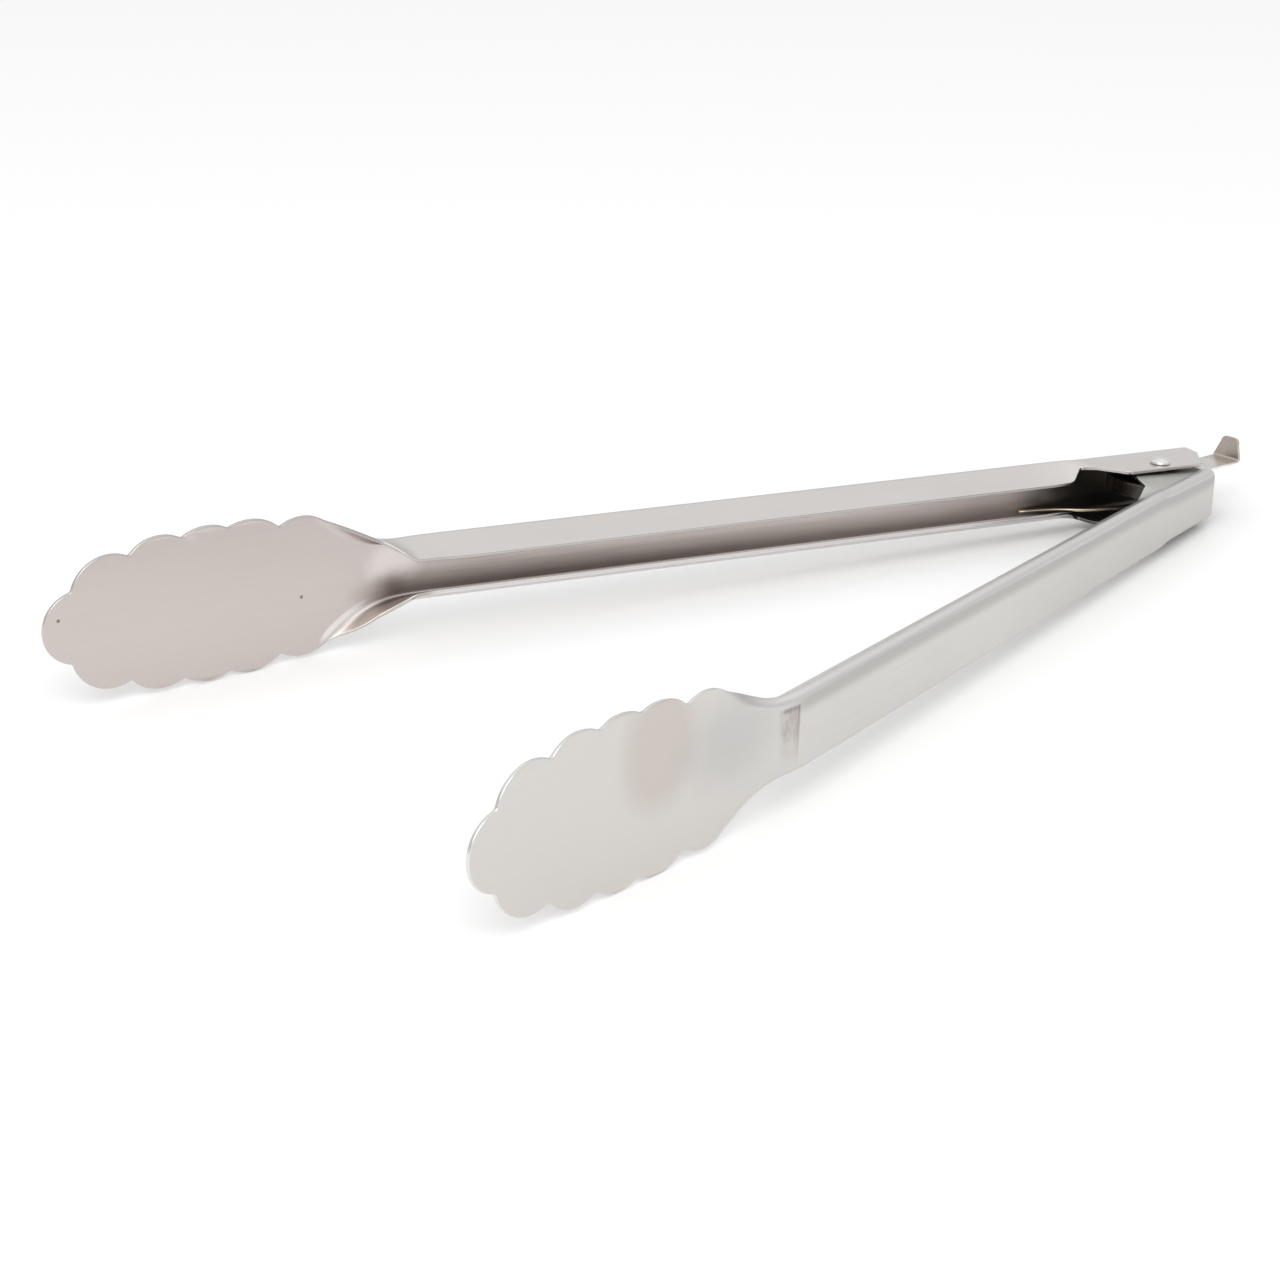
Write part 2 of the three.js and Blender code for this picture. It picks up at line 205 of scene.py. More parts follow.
def web_line(u):
    """The web's line in plan: offset from the rivet axis and toe-in angle at u."""
    half_curve = TOE_RADIUS * math.tan(TOE_IN / 2)
    past = np.clip(u - (TOE_START - half_curve), 0, None)
    angle = np.minimum(past / TOE_RADIUS, TOE_IN)
    curved = WEB_OFFSET - TOE_RADIUS * (1 - np.cos(angle))
    straight = WEB_OFFSET - math.tan(TOE_IN) * (u - TOE_START)
    return np.where(angle < TOE_IN, curved, straight), angle


def fold_points(arm, u, s, d):
    """Sheet points (u, s), d below the outer face, in the row frame in millimetres."""
    u, s, d = np.broadcast_arrays(np.asarray(u, float), s, d)
    up = half_profile(arm, u, np.abs(s), True)
    low = half_profile(arm, u, np.abs(s), False)
    depth, height, heading = (np.where(s >= 0, a, b) for a, b in zip(up, low))
    depth = depth + np.cos(heading) * d
    height = (height - np.sin(heading) * d) * np.where(s >= 0, 1, -1)
    web, toe = web_line(u)
    along = u - np.sin(toe) * depth
    across = web - np.cos(toe) * depth
    side = arm["side"]
    x = -along * math.cos(HALF_OPEN) + across * math.sin(HALF_OPEN)
    y = side * (along * math.sin(HALF_OPEN) + across * math.cos(HALF_OPEN))
    return np.stack([x + PIVOT.x, y, height + PIVOT.z], axis=-1)


WIDEST_HALF = 40.0
HALVINGS = 40


def sheet_s(arm, u, across, upper):
    """The s of the flange or ear point that lies across from the rivet axis by that much, at u."""
    low, high = 0.0, WIDEST_HALF
    for _ in range(HALVINGS):
        middle = (low + high) / 2
        depth = float(half_profile(arm, np.float64(u), np.float64(middle), upper)[0])
        if WEB_OFFSET - depth > across:
            low = middle
        else:
            high = middle
    return low


# -------- the flat pattern


EDGE_STEP = 0.5  # between points on the scallops and the cuts
NECK_STEP = 0.7
FLANGE_STEP = 4
FLANGE_REAR = 26
EAR_STEP = 1.5
REAR_STEP = 1.0
LEAST_GAP = 0.12
SHARP = math.radians(28)  # corners that turn more than this are softened
SOFTENING = 0.35
HOLE_SIDES = 28


def line_points(start, end, step):
    """Points from start to just short of end."""
    count = max(1, math.ceil(math.dist(start, end) / step))
    return [tuple(mix(np.array(start), np.array(end), i / count)) for i in range(count)]


def lobe(start, end, bulge):
    """A circular scallop between two cusps, bulging outwards, up to just short of its end."""
    (u0, h0), (u1, h1) = start, end
    chord = math.hypot(u1 - u0, h1 - h0)
    radius = (chord * chord / 4 + bulge * bulge) / (2 * bulge)
    out = np.array([-(h1 - h0), u1 - u0]) / chord * math.copysign(1, u1 - u0)
    centre = np.array([(u0 + u1) / 2, (h0 + h1) / 2]) + out * (bulge - radius)
    a0 = math.atan2(h0 - centre[1], u0 - centre[0])
    a1 = math.atan2(h1 - centre[1], u1 - centre[0])
    count = math.ceil(radius * abs(a1 - a0) / EDGE_STEP)
    angles = [mix(a0, a1, i / count) for i in range(count)]
    return [(centre[0] + radius * math.cos(a), centre[1] + radius * math.sin(a)) for a in angles]


def nose():
    """The tip lobe's upper half, from the middle line to the first cusp."""
    u0, half = CUSPS[0]
    reach = TIP - u0
    radius = (half * half + reach * reach) / (2 * reach)
    sweep = math.asin(half / radius)
    count = math.ceil(radius * sweep / EDGE_STEP)
    angles = [sweep * i / count for i in range(count)]
    return [(TIP - radius * (1 - math.cos(a)), radius * math.sin(a)) for a in angles]


def plan_edge(arm, start, end, upper):
    """A cut that is straight in plan, from (u, across) to (u, across), as sheet points."""
    return [(u, sheet_s(arm, u, across, upper)) for u, across in line_points(start, end, EDGE_STEP)]


def notch_edge(arm, upper):
    """The notch between a flange and an ear, as far as it cuts into the sheet."""
    ear = arm["ear_top"] if upper else arm["ear_bottom"]
    notch = arm["notch"]
    deepest = notch[2][0]
    points = []
    for start, end in zip(notch, notch[1:]):
        for u, s in plan_edge(arm, start, end, upper):
            if s < sheet_half(arm["channel"] if u > deepest else ear):
                points.append((u, s))
    return points


def half_outline(arm, upper):
    """One half of the sheet's outline, from the tip to the middle of the rear edge, with s positive."""
    points = nose()
    for start, end, bulge in zip(CUSPS, CUSPS[1:], BULGES):
        points += lobe(start, end, bulge)
    neck = np.arange(CUSPS[-1][0], FLANGE_TAPER[0], -NECK_STEP)
    flange = np.arange(FLANGE_TAPER[0], FLANGE_REAR, -FLANGE_STEP)
    points += [(u, float(neck_half(u, arm, upper))) for u in np.concatenate([neck, flange])]
    points += notch_edge(arm, upper)
    ear_half = sheet_half(arm["ear_top"] if upper else arm["ear_bottom"])
    rear = arm["rear"]
    trim = arm["rear_trim"]
    points += line_points((arm["notch"][-1][0], ear_half), (trim[0][0], ear_half), EAR_STEP)
    points += [(max(u, rear), s) for u, s in plan_edge(arm, trim[0], trim[1], upper)]
    return points + line_points((rear, points[-1][1] - EDGE_STEP), (rear, 0), REAR_STEP)


def outline(arm):
    """The whole outline, anticlockwise in (u, s)."""
    upper = half_outline(arm, True)
    lower = half_outline(arm, False)
    mirrored = [(u, -s) for u, s in lower]
    rear = (arm["rear"], 0.0)
    return tidy_loop(upper + [rear] + mirrored[::-1][:-1])


def tidy_loop(points):
    """Drops points that lie on top of their neighbour."""
    kept = []
    for point in points:
        if not kept or math.dist(point, kept[-1]) > LEAST_GAP:
            kept.append((float(point[0]), float(point[1])))
    while math.dist(kept[0], kept[-1]) <= LEAST_GAP:
        kept.pop()
    return kept


def soften(points, rounds=2):
    """Rounds a loop's sharp corners a little, as tumbling does."""
    loop = np.array(points)
    for _ in range(rounds):
        before, after = np.roll(loop, 1, axis=0), np.roll(loop, -1, axis=0)
        a, b = loop - before, after - loop
        turn = np.arctan2(a[:, 0] * b[:, 1] - a[:, 1] * b[:, 0], (a * b).sum(1))
        sharp = np.abs(turn) > SHARP
        middle = (before + after) / 2
        loop = np.where(sharp[:, None], mix(loop, middle, SOFTENING), loop)
    return loop


def inward_normals(loop):
    """Normals that point into an anticlockwise loop, at its corners, longer where a corner is sharp."""
    before = loop - np.roll(loop, 1, axis=0)
    after = np.roll(loop, -1, axis=0) - loop
    before /= np.linalg.norm(before, axis=1)[:, None]
    after /= np.linalg.norm(after, axis=1)[:, None]
    tangent = before + after
    tangent /= np.maximum(np.linalg.norm(tangent, axis=1), 1e-6)[:, None]
    normal = np.stack([-tangent[:, 1], tangent[:, 0]], axis=1)
    stretch = np.clip((normal * np.stack([-before[:, 1], before[:, 0]], axis=1)).sum(1), 0.5, 1)
    return normal / stretch[:, None]


def hole_loop(arm, upper):
    """The rivet hole in one ear, clockwise in (u, s)."""
    loop = []
    for i in range(HOLE_SIDES):
        angle = -2 * math.pi * i / HOLE_SIDES
        u = RIVET_HOLE * math.cos(angle)
        s = sheet_s(arm, u, RIVET_HOLE * math.sin(angle), upper)
        loop.append((u, s if upper else -s))
    return clockwise(np.array(loop))


def clockwise(loop):
    after = np.roll(loop, -1, axis=0)
    area = (loop[:, 0] * after[:, 1] - after[:, 0] * loop[:, 1]).sum()
    return loop if area < 0 else loop[::-1]


HINGE_END = 27
NECK_SPAN = (192, 226)
SHELF_REACH = 14  # further out than any shelf goes
ACROSS_COUNTS = (6, 12, 3, 4, 9)  # mesh points on web, fold, slope, turn back and shelf


def grid_u(arm):
    """Rows of the sheet's mesh along the arm: close where it bends, wide where it is straight."""
    neck_start, neck_end = NECK_SPAN
    spans = [(arm["rear"], HINGE_END, 1.0), (HINGE_END, neck_start, 5.0), (neck_start, neck_end, 0.7),
             (neck_end, TIP, 3.0)]
    return np.concatenate([np.arange(start, end, step) for start, end, step in spans])


def grid_s(arm, u, upper):
    """Mesh points across one half at u: close over the bends."""
    crease, _, slope, _ = (float(v) for v in section(arm, np.float64(u), upper))
    ends = np.cumsum([0, crease, FOLD, slope, SETTLE, SHELF_REACH])
    spans = zip(ends, ends[1:], ACROSS_COUNTS)
    return np.concatenate([np.linspace(start, end, n, endpoint=False) for start, end, n in spans])


def inside(points, loop):
    """Which of the points lie inside the loop."""
    x, y = points[:, 0][:, None], points[:, 1][:, None]
    a, b = loop, np.roll(loop, -1, axis=0)
    crosses = (a[:, 1] > y) != (b[:, 1] > y)
    with np.errstate(divide="ignore", invalid="ignore"):
        at = (b[:, 0] - a[:, 0]) * (y - a[:, 1]) / (b[:, 1] - a[:, 1]) + a[:, 0]
    return (crosses & (x < at)).sum(axis=1) % 2 == 1


def clear_of(points, loop, least):
    """Which of the points are at least that far from the loop's edges."""
    a, b = loop, np.roll(loop, -1, axis=0)
    edge = b - a
    best = np.full(len(points), np.inf)
    for start, way in zip(a, edge):
        t = np.clip(((points - start) @ way) / (way @ way), 0, 1)
        best = np.minimum(best, np.linalg.norm(points - start - t[:, None] * way, axis=1))
    return best > least


def within(points, loops, least):
    """The points inside the first loop and outside the others, that far from all of their edges."""
    points = points[inside(points, loops[0])]
    for hole in loops[1:]:
        points = points[~inside(points, hole)]
    for loop in loops:
        points = points[clear_of(points, loop, least)]
    return points


def sheet_points(arm, loops):
    """Grid points inside an arm's pattern and clear of its edges."""
    rows = []
    for u in grid_u(arm):
        up = grid_s(arm, u, True)
        low = grid_s(arm, u, False)[1:]
        rows += [(u, s) for s in up] + [(u, -s) for s in low]
    return within(np.array(rows), loops, 2 * RIM)


SLOPE_STEP = 0.02  # how far apart the points are that a slope is worked out from


def face_normals(place, flip, u, s):
    """Unit normals of a sheet's outer face at sheet points, from the slopes of its place formula."""
    along = place(u + SLOPE_STEP, s, 0) - place(u - SLOPE_STEP, s, 0)
    across = place(u, s + SLOPE_STEP, 0) - place(u, s - SLOPE_STEP, 0)
    normal = np.cross(along, across) * flip
    return normal / np.linalg.norm(normal, axis=1)[:, None]


def rim_normals(place, flip, loop, way, angle):
    """Normals on a rim, tilted by angle from the outer face towards the sheet's outside."""
    face = face_normals(place, flip, loop[:, 0], loop[:, 1])
    unit = way / np.linalg.norm(way, axis=1)[:, None]
    beyond = loop - unit * SLOPE_STEP
    out = place(beyond[:, 0], beyond[:, 1], 0) - place(loop[:, 0], loop[:, 1], 0)
    out /= np.linalg.norm(out, axis=1)[:, None]
    return math.cos(angle) * face + math.sin(angle) * out


# A rim's quarter circle: (inset in radii, depth in radii, tilt of its normal out of the face).
RIM_PROFILE = [(1 - math.sin(a), 1 - math.cos(a), a) for a in np.linspace(0, math.pi / 2, 4)][1:]


def rim_steps(rim, thickness):
    """The rim's (inset, depth, tilt) steps from just under the outer face to just over the inner one."""
    over = [(inset, depth * rim, tilt) for inset, depth, tilt in RIM_PROFILE]
    under = [(inset, thickness - depth, math.pi - tilt) for inset, depth, tilt in over[::-1]]
    return over + under


INSIDE_LOOPS = 1  # the kind of triangulation: only what the loops enclose
MERGE_GAP = 1e-5


def flat_faces(name, flat, loops):
    """Triangles over a pattern's points that keep to its loops, as indices into flat."""
    edges = []
    start = 0
    for loop in loops:
        n = len(loop)
        edges += [(start + i, start + (i + 1) % n) for i in range(n)]
        start += n
    corners = [Vector((float(u), float(s))) for u, s in flat]
    found = geometry.delaunay_2d_cdt(corners, edges, [], INSIDE_LOOPS, MERGE_GAP)
    if len(found[0]) != len(flat):
        raise ValueError(f"{name}: the pattern crosses itself")
    order = [origins[0] for origins in found[3]]
    faces = [tuple(order[i] for i in face) for face in found[2]]
    middles = np.array([flat[list(face)].mean(axis=0) for face in faces])
    keep = np.ones(len(faces), bool)
    for hole in loops[1:]:
        keep &= ~inside(middles, hole)
    return [face for face, kept in zip(faces, keep) if kept]


class SheetMesh:
    """A folded sheet's points, normals, polygons and sheet places (u, s, face). There face is 0 on the
    outer face, 1 on the inner one and 0.5 on the rim."""

    def __init__(self, place, flip):
        self.place = place
        self.flip = flip
        self.count = 0
        self.positions = []
        self.normals = []
        self.sheet = []
        self.polygons = []

    def add(self, flat, depth, face, normals):
        """Adds sheet points at a depth, and returns their indices."""
        self.positions.append(self.place(flat[:, 0], flat[:, 1], depth))
        self.normals.append(normals)
        self.sheet.append(np.column_stack([flat, np.full(len(flat), face)]))
        self.count += len(flat)
        return np.arange(self.count - len(flat), self.count)

    def add_rim(self, loop, way, rim, thickness, first, last):
        """Adds a rounded rim along a loop, from indices first on the outer face to last on the inner."""
        rings = [first]
        for inset, depth, tilt in rim_steps(rim, thickness):
            normals = rim_normals(self.place, self.flip, loop, way, tilt)
            rings.append(self.add(loop + way * rim * inset, depth, 0.5, normals))
        rings.append(last)
        for here, there in zip(rings, rings[1:]):
            quads = np.stack([here, there, np.roll(there, -1), np.roll(here, -1)], 1)
            self.polygons += [tuple(quad) for quad in quads.tolist()]

    def build(self, name):
        turned = self.polygons if self.flip > 0 else [polygon[::-1] for polygon in self.polygons]
        mesh = new_mesh(name, np.concatenate(self.positions), turned)
        attribute = mesh.attributes.new("sheet", "FLOAT_VECTOR", "POINT")
        attribute.data.foreach_set("vector", np.concatenate(self.sheet).astype(np.float32).ravel())
        mesh.normals_split_custom_set_from_vertices([tuple(n) for n in np.concatenate(self.normals)])
        return mesh


def stamped(name, place, thickness, rim, loops, inner, flip):
    """A closed mesh of folded sheet: its two faces, and a rounded rim round its outline and holes."""
    ways = [inward_normals(loop) for loop in loops]
    insets = [loop + way * rim for loop, way in zip(loops, ways)]
    flat = np.concatenate(insets + [inner])
    count = len(flat)
    faces = flat_faces(name, flat, loops)
    normal = face_normals(place, flip, flat[:, 0], flat[:, 1])
    sheet = SheetMesh(place, flip)
    outer_face = sheet.add(flat, 0, 0.0, normal)
    inner_face = sheet.add(flat, thickness, 1.0, -normal)
    sheet.polygons = faces + [tuple(i + count for i in face[::-1]) for face in faces]
    start = 0
    for loop, way in zip(loops, ways):
        end = start + len(loop)
        sheet.add_rim(loop, way, rim, thickness, outer_face[start:end], inner_face[start:end])
        start = end
    return sheet.build(name)


def new_mesh(name, positions, polygons):
    """A smooth mesh from points in the row frame in millimetres."""
    mesh = bpy.data.meshes.new(name)
    mesh.from_pydata([tuple(point) for point in positions * MM], [], polygons)
    mesh.polygons.foreach_set("use_smooth", [True] * len(mesh.polygons))
    mesh.update()
    return mesh


def arm_mesh(arm):
    border = soften(outline(arm))
    loops = [border, hole_loop(arm, True), hole_loop(arm, False)]
    place = functools.partial(fold_points, arm)
    inner = sheet_points(arm, loops)
    return stamped(arm["name"] + "_sheet", place, SHEET, RIM, loops, inner, arm["side"])


# -------- materials


BUMP_DEPTH = 0.00002  # metres


def new_material(name, colour, roughness, metallic=1.0):
    material = bpy.data.materials.new(name)
    material.use_nodes = True
    shader = material.node_tree.nodes["Principled BSDF"]
    shader.inputs["Base Color"].default_value = (*colour, 1)
    shader.inputs["Roughness"].default_value = roughness
    shader.inputs["Metallic"].default_value = metallic
    return material, shader


class Nodes:
    """Short ways to add and join nodes. The colour starts as tint, and each stain changes it."""

    def __init__(self, owner, tint=(1, 1, 1)):
        self.tree = owner.node_tree
        self.colour = (*tint, 1)

    def add(self, kind, inputs=None, **settings):
        node = self.tree.nodes.new("ShaderNode" + kind)
        for key, value in settings.items():
            setattr(node, key, value)
        for key, value in (inputs or {}).items():
            self.put(node, key, value)
        return node

    def put(self, node, key, value):
        socket = node.inputs[key]
        if isinstance(value, bpy.types.NodeSocket):
            self.tree.links.new(value, socket)
        else:
            socket.default_value = value

    def maths(self, operation, *values, clamp=False):
        node = self.add("Math", operation=operation, use_clamp=clamp)
        for i, value in enumerate(values):
            self.put(node, i, value)
        return node.outputs[0]

    def product(self, first, *rest):
        for value in rest:
            first = self.maths("MULTIPLY", first, value)
        return first

    def ramp(self, value, low, high):
        """0 below low, 1 above high, smooth between. low may be the greater."""
        inputs = {"Value": value, "From Min": low, "From Max": high}
        return self.add("MapRange", inputs, interpolation_type="SMOOTHSTEP", clamp=True).outputs["Result"]

    def band(self, value, start, full, last, end):
        """0 up to start, 1 from full to last, and 0 again from end."""
        return self.product(self.ramp(value, start, full), self.ramp(value, end, last))

    def share(self, value, span):
        """How far value has gone through span, from 0 to 1."""
        start, end = span
        return self.maths("DIVIDE", self.maths("SUBTRACT", value, start), end - start, clamp=True)

    def noise(self, vector, detail, rough=0.5, scale=1.0):
        inputs = {"Vector": vector, "Scale": scale, "Detail": detail, "Roughness": rough}
        return self.add("TexNoise", inputs).outputs["Fac"]

    def stretch(self, vector, scale):
        return self.add("Mapping", {"Vector": vector, "Scale": scale}).outputs["Vector"]

    def stain(self, tint, *factors):
        """Turns the colour to tint, as far as the product of the factors says. It lays real stains and
        painted light and shade alike.
        """
        inputs = {0: self.product(*factors), 6: self.colour, 7: (*tint, 1)}
        self.colour = self.add("Mix", inputs, data_type="RGBA").outputs[2]

    def bumps(self, shader, height, strength):
        """Shallow relief on the shader's surface."""
        inputs = {"Height": height, "Strength": strength, "Distance": BUMP_DEPTH}
        self.put(shader, "Normal", self.add("Bump", inputs).outputs["Normal"])


class SheetNodes(Nodes):
    """A folded sheet's nodes: where a point lies on the flat sheet, and on which of its faces."""

    def __init__(self, material, tint):
        super().__init__(material, tint)
        self.place = self.add("Attribute", attribute_name="sheet").outputs["Vector"]
        self.u, self.s, self.face = self.add("SeparateXYZ", {"Vector": self.place}).outputs

    def outside(self):
        return self.ramp(self.face, 0.3, 0.1)

    def inside(self):
        return self.ramp(self.face, 0.55, 0.95)

    def rim(self):
        away = self.maths("ABSOLUTE", self.maths("SUBTRACT", self.face, 0.5))
        return self.ramp(away, 0.5, 0.1)

    def clouds(self, scale, low=0.3, high=0.75):
        """Broad soft patches."""
        return self.ramp(self.noise(self.stretch(self.place, scale), 3.0), low, high)

    def brushed(self, shader, along, across):
        """Fine brushing: long thin streaks that vary the roughness and the surface a little."""
        streaks = self.noise(self.stretch(self.place, (along, across, across)), 5.0, 0.62)
        self.bumps(shader, streaks, 0.22)
        return streaks

    def above_crease(self, arm, s):
        """How far across the sheet s lies from the crease that section gives for an upper half."""
        ear, channel = arm["ear_top"], arm["channel"]
        front = self.share(self.u, (LIFT_START, EAR_END))
        line = self.maths("ADD", ear["web"], self.product(front, ear["lift"]))
        rise = channel["web"] - ear["web"] - ear["lift"]
        line = self.maths("ADD", line, self.product(self.ramp(self.u, EAR_END, CHANNEL_START), rise))
        widening = self.product(self.ramp(self.u, CHANNEL_START, CHANNEL_END), channel["taper"])
        line = self.maths("ADD", line, widening)
        spread = self.maths("POWER", self.share(self.u, CREASE), CREASE_POWER)
        rest = self.product(spread, self.maths("SUBTRACT", CREASE_HALF, line))
        return self.maths("SUBTRACT", s, self.maths("ADD", line, rest))

    def spot(self, centre, radius, softness):
        """1 inside a round spot at sheet point (u, s, face), fading over its wavering edge."""
        wobble = self.add("TexNoise", {"Vector": self.place, "Scale": 0.35, "Detail": 2.0}).outputs["Color"]
        shifted = self.vector("MULTIPLY_ADD", wobble, (softness, softness, 0), self.place)
        middle = (centre[0] + softness / 2, centre[1] + softness / 2, centre[2])
        away = self.vector("SUBTRACT", shifted, middle)
        away = self.vector("MULTIPLY", away, (1 / radius[0], 1 / radius[1], 3))
        length = self.add("VectorMath", {0: away}, operation="LENGTH").outputs["Value"]
        return self.ramp(length, 1 + 0.25 * softness, 1 - 0.25 * min(softness, 3))

    def vector(self, operation, *values):
        node = self.add("VectorMath", operation=operation)
        for i, value in enumerate(values):
            self.put(node, i, value)
        return node.outputs[0]


WARM_GREY = (0.52, 0.47, 0.43)
STREAK_GREY = (0.46, 0.43, 0.41)
# Painted shade in the channel and round the hinge, and the painted light that lifts it near the hinge.
HOLLOW_SHADE_STREAK = (0.34, 0.28, 0.25)
HOLLOW_PAINTED_LIGHT = (0.88, 0.81, 0.78)
DARK_BROWN = (0.16, 0.13, 0.12)
HINGE_SHADE = (0.085, 0.075, 0.066)
# Where the channel's painted shade and painted light set in, along u or up the web.
HOLLOW_SPAN = (203, 182)
HOLLOW_LIGHT_SPAN = (170, 80)
CORNER_SPAN = (196, 168)
HINGE_SPAN = (38, 22)
WEB_SPAN = (8.5, 6.5)
CORNER_BAND = (7.0, 7.8, 8.6, 9.6)


def arm_steel(name, tint_outer, tint_inner, rim_light_tint, marks):
    """Brushed stainless sheet. marks adds the arm's own stains and its painted light and shade. Each
    stain's bands and ramps are in millimetres on the flat sheet, and its last number is its strength."""
    material, shader = new_material(name, tint_outer, 0.32)
    nodes = SheetNodes(material, tint_outer)
    streaks = nodes.brushed(shader, 0.035, 2.6)
    nodes.stain(tint_inner, nodes.inside())
    nodes.stain(WARM_GREY, nodes.clouds((0.02, 0.05, 3.0), 0.35), 0.14)
    nodes.stain(STREAK_GREY, nodes.ramp(streaks, 0.25, 0.8), 0.1)
    # The rims' tint is painted edge light: a painted highlight on the inner arm's rims, painted shade on
    # the outer arm's.
    nodes.stain(rim_light_tint, nodes.rim(), 0.5)
    channel_shade(nodes, streaks)
    marks(nodes)
    nodes.put(shader, "Base Color", nodes.colour)
    rough = nodes.maths("ADD", 0.25, nodes.product(streaks, 0.16))
    nodes.put(shader, "Roughness", nodes.maths("SUBTRACT", rough, nodes.product(nodes.rim(), 0.1)))
    shader.inputs["Anisotropic"].default_value = 0.35
    return material


def channel_shade(nodes, streaks):
    """Painted shade inside the channel, streaked along the brushing and lifted by painted light towards the
    hinge, a painted shadow along the inner corners of its folds, and painted shade round the hinge and on
    the lower ear.
    """
    height = nodes.maths("ABSOLUTE", nodes.s)
    web = nodes.maths("ADD", nodes.product(nodes.ramp(height, *WEB_SPAN), 0.7), 0.3)
    hollow_shade = nodes.product(nodes.inside(), nodes.ramp(nodes.u, *HOLLOW_SPAN), web)
    streaky = nodes.maths("ADD", 0.05, nodes.product(nodes.ramp(streaks, 0.35, 0.7), 0.3))
    near_hinge = nodes.ramp(nodes.u, *HOLLOW_LIGHT_SPAN)
    faded = nodes.maths("SUBTRACT", 1, nodes.product(near_hinge, 0.6))
    # Painted shade inside the channel, streaked along the brushing, weaker towards the hinge.
    nodes.stain(HOLLOW_SHADE_STREAK, hollow_shade, streaky, faded)
    # Painted light that lifts the channel's painted shade again towards the hinge.
    nodes.stain(HOLLOW_PAINTED_LIGHT, hollow_shade, near_hinge, 0.5)
    # A painted shadow along the inner corners of the folds.
    corner = nodes.band(height, *CORNER_BAND)
    nodes.stain(DARK_BROWN, corner, nodes.inside(), nodes.ramp(nodes.u, *CORNER_SPAN), 0.75)
    # Painted shade on the inner faces round the hinge and all over the lower ear.
    hinge = nodes.product(nodes.inside(), nodes.ramp(nodes.u, *HINGE_SPAN))
    lower_ear = nodes.product(nodes.ramp(nodes.u, 25.5, 24.5), nodes.ramp(nodes.s, -10, -12))
    nodes.stain(HINGE_SHADE, nodes.maths("MAXIMUM", hinge, lower_ear), 0.93)


NECK_HIGHLIGHT = (0.86, 0.80, 0.77)
NECK_SHADE_PATCH = (0.36, 0.31, 0.29)
FLAP_SHADE = (0.34, 0.29, 0.26)
LOWER_FOLD_HIGHLIGHT = (0.95, 0.91, 0.89)
SHELF_HIGHLIGHT = (0.93, 0.92, 0.91)
EAR_BRIGHT = (0.86, 0.83, 0.82)
FLAP_SPAN = (199, 204, 218, 222)
FOLD_SPAN = (207, 215, 222, 224.5)
SHELF_SPAN = (40, 60, 197, 201)
FLECKS = ((285.9, 2.4, 1), (228.3, -2.4, 1))
FLECK_RADIUS = 0.42


def outer_marks(nodes):
    """A painted highlight with painted shade below it in the outer arm's neck, a painted highlight along
    its lower fold, painted shade on the flap below them, a painted highlight on its lower shelf, lighter
    metal on its upper ear, and two pinprick specks on its gripping face."""
    u = nodes.u
    # A painted highlight on the neck's inner face.
    nodes.stain(NECK_HIGHLIGHT, nodes.spot((205, 1, 1), (6, 5.5), 2), 0.7)
    # Painted shade below the neck's painted highlight.
    nodes.stain(NECK_SHADE_PATCH, nodes.spot((209, -4.4, 1), (6.5, 2.6), 2), 0.4)
    below = nodes.above_crease(OUTER, nodes.product(nodes.s, -1))
    # Painted shade on the flap below the lower crease.
    flap = nodes.ramp(below, 1.3, 2.3)
    nodes.stain(FLAP_SHADE, flap, nodes.band(u, *FLAP_SPAN), nodes.inside(), 0.7)
    # A painted highlight along the inside of the lower fold.
    fold = nodes.band(below, -1.6, -0.6, 1.2, 2.2)
    nodes.stain(LOWER_FOLD_HIGHLIGHT, fold, nodes.band(u, *FOLD_SPAN), nodes.inside(), 0.7)
    # A painted highlight on the lower shelf's inner face and rim.
    shelf = nodes.ramp(nodes.s, -12, -13.5)
    upward = nodes.ramp(nodes.face, 0.3, 0.45)
    nodes.stain(SHELF_HIGHLIGHT, shelf, nodes.band(u, *SHELF_SPAN), upward, 0.75)
    nodes.stain(EAR_BRIGHT, nodes.outside(), nodes.ramp(u, 40, 10), 0.5)
    for centre in FLECKS:
        nodes.stain(DARK_BROWN, nodes.spot(centre, (FLECK_RADIUS, FLECK_RADIUS), 0.15), 0.75)


BLADE_WARM = (0.65, 0.615, 0.59)
BLADE_STAIN = (0.46, 0.37, 0.32)
NECK_REFLECTION = (0.44, 0.44, 0.44)
TOWARDS_HINGE_GREY = (0.49, 0.485, 0.465)
FOLD_SHADE_LINE = (0.39, 0.38, 0.37)
UPPER_FOLD_HIGHLIGHT = (0.92, 0.91, 0.92)


def inner_marks(nodes):
    """A warm stain on the inner arm's blade, a painted dark reflection at its neck, greyer metal towards
    its hinge, painted shade along its upper fold with a painted highlight beside it, and the press mark
    across its toe-in bend."""
    u = nodes.u
    outside = nodes.outside()
    nodes.stain(BLADE_WARM, nodes.ramp(u, 205, 235), outside, 0.6)
    nodes.stain(BLADE_STAIN, nodes.spot((241, 8.5, 0), (9.5, 12), 1.6), 0.36)
    # A painted dark reflection where the blade rolls into the neck's crease.
    nodes.stain(NECK_REFLECTION, nodes.spot((221, 4.5, 0), (12, 8), 3), outside, 0.45)
    # Greyer towards the hinge on the outer face.
    nodes.stain(TOWARDS_HINGE_GREY, nodes.ramp(u, 120, 20), outside, 0.4)
    above = nodes.above_crease(INNER, nodes.s)
    # A line of painted shade along the upper fold.
    nodes.stain(FOLD_SHADE_LINE, nodes.band(above, -3.4, -0.9, 0.1, 1.0), nodes.ramp(u, 208, 196), outside, 0.7)
    # A painted highlight on the upper fold's rounded surface.
    nodes.stain(UPPER_FOLD_HIGHLIGHT, nodes.band(above, 0.1, 0.9, 2.6, 3.6), nodes.ramp(u, 218, 210), outside, 0.45)
    press_mark(nodes)


